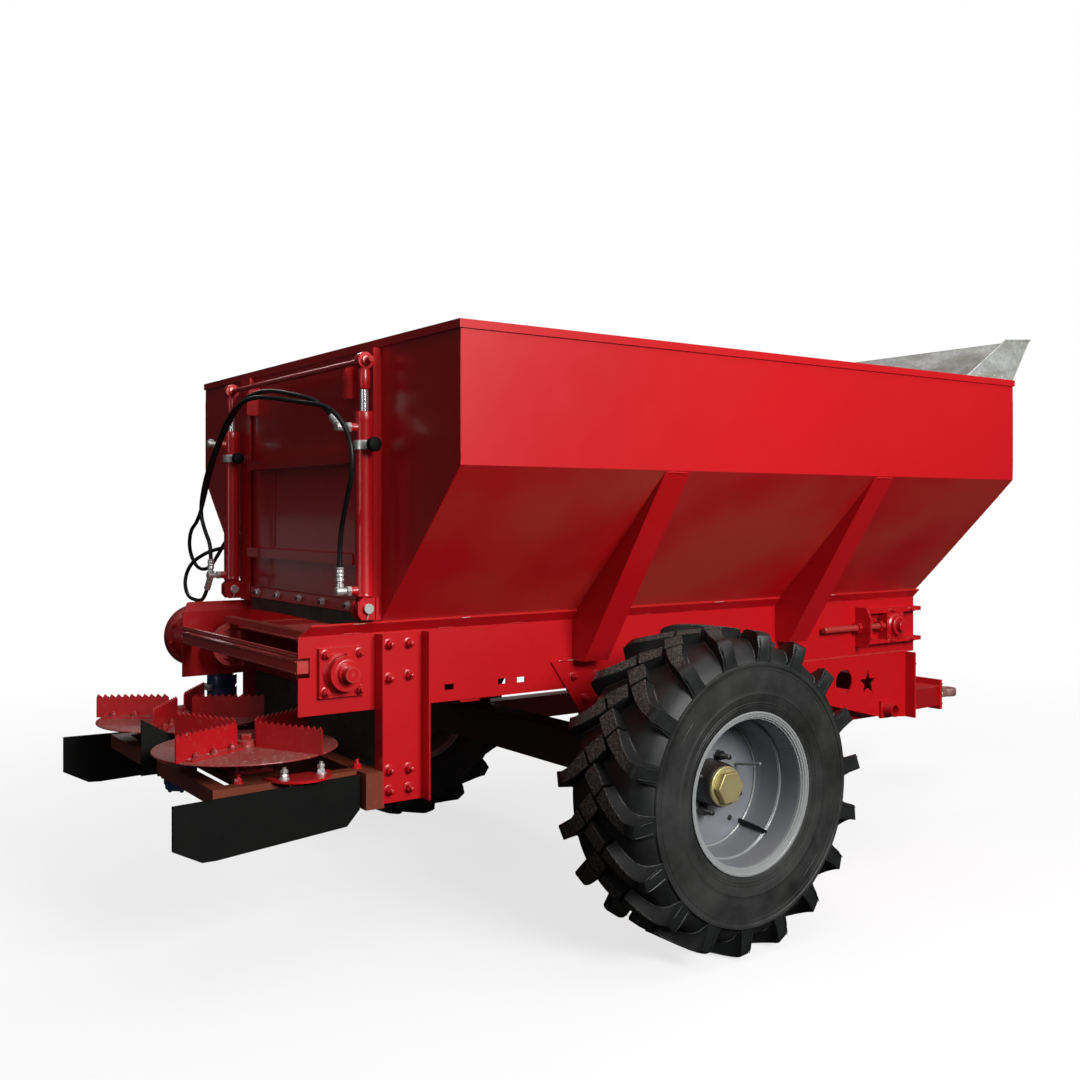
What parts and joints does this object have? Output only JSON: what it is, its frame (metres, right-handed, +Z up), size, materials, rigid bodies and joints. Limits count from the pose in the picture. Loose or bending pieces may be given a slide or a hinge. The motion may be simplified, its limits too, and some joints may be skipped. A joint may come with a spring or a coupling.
{
  "type": "trailed fertilizer spreader",
  "caption": "Trailed fertilizer spreader: sheet hopper with sloped sides on a two-wheel frame, floor conveyor, sliding gate with cylinders, spinning discs, drawbar with tow eye and a jack.",
  "frame": {"origin": "on the ground, below the middle of the whole machine's outer box", "axes": "+X forward along the drawbar to the tow eye, +Y to the left, +Z up"},
  "size_m": [4.6164, 2.608, 2.227],
  "materials": {
    "black_paint": "satin",
    "black_rubber": "matt",
    "blue_paint": "satin",
    "brown_paint": "satin",
    "chrome": "polished",
    "galvanised": "weathered galvanised",
    "red_paint": "gloss",
    "silver_paint": "satin",
    "steel": "worn",
    "tow_steel": "satin",
    "tyre": "matt",
    "zinc": "zinc plated"
  },
  "bodies": {
    "chassis": {"axle_beam": "brown_paint", "axle_saddles": "red_paint", "clamp_knobs": "black_rubber", "clamp_rings": "steel", "conveyor_floor": "galvanised", "conveyor_reducer": "red_paint", "conveyor_shafts": "steel", "cross_members": "red_paint", "cylinder_barrels": "red_paint", "cylinder_lugs": "red_paint", "cylinder_pins": "steel", "deflector_brackets": "red_paint", "deflectors": "black_rubber", "disc_bearings": "red_paint", "disc_frame": "red_paint", "divider_plate": "black_rubber", "drawbar": "red_paint", "frame_sides": "red_paint", "front_apron": "galvanised", "gate_guides": "red_paint", "guard_curtain": "black_rubber", "hopper": "red_paint", "hopper_struts": "red_paint", "hose_base_side": "black_rubber", "hose_fittings": "chrome", "hose_rod_side": "black_rubber", "hose_supply": "black_rubber", "hydraulic_motors": "blue_paint", "jack_stubs": "red_paint", "legs": "red_paint", "longitudinal_rails": "red_paint", "rear_bearing": "red_paint", "rear_crossbar": "red_paint", "slat_chain": "steel", "subframe_plates": "red_paint", "takeup_bearings": "red_paint", "takeup_rails": "red_paint", "takeup_screws": "steel", "tow_eye": "tow_steel"},
    "wheel_left": {"tyre_left": "tyre", "rim_left": "silver_paint", "hub_left": "black_paint"},
    "wheel_right": {"tyre_right": "tyre", "rim_right": "silver_paint", "hub_right": "black_paint"},
    "disc_left": {"disc_left": "red_paint", "blades_left": "red_paint"},
    "disc_right": {"disc_right": "red_paint", "blades_right": "red_paint"},
    "gate": {"gate_panel": "red_paint", "gate_flap": "black_rubber", "lift_bar": "red_paint", "cylinder_rods": "chrome"},
    "jack_swivel": {"jack_tube": "red_paint"},
    "jack_leg": {"jack_leg": "zinc"}
  },
  "joints": [
    {"name": "wheel_left_turn", "type": "hinge", "parent": "chassis", "child": "wheel_left", "pos_m": [-0.597, 1.1, 0.5375], "axis": [0, 1, 0], "continuous": true},
    {"name": "wheel_right_turn", "type": "hinge", "parent": "chassis", "child": "wheel_right", "pos_m": [-0.597, -1.1, 0.5375], "axis": [0, 1, 0], "continuous": true},
    {"name": "disc_left_spin", "type": "hinge", "parent": "chassis", "child": "disc_left", "pos_m": [-1.965, 0.328, 0.692], "axis": [0, 0, 1], "continuous": true},
    {"name": "disc_right_spin", "type": "hinge", "parent": "chassis", "child": "disc_right", "pos_m": [-1.965, -0.328, 0.692], "axis": [0, 0, 1], "continuous": true},
    {"name": "gate_lift", "type": "slide", "parent": "chassis", "child": "gate", "axis": [0, 0, 1], "range_m": [0, 0.44]},
    {"name": "jack_turn", "type": "hinge", "parent": "chassis", "child": "jack_swivel", "pos_m": [1.003, 0.72, 0.562], "axis": [0, 1, 0], "range_deg": [0, 90]},
    {"name": "jack_extend", "type": "slide", "parent": "jack_swivel", "child": "jack_leg", "axis": [0, 0, 1], "range_m": [0, 0.2]}
  ]
}
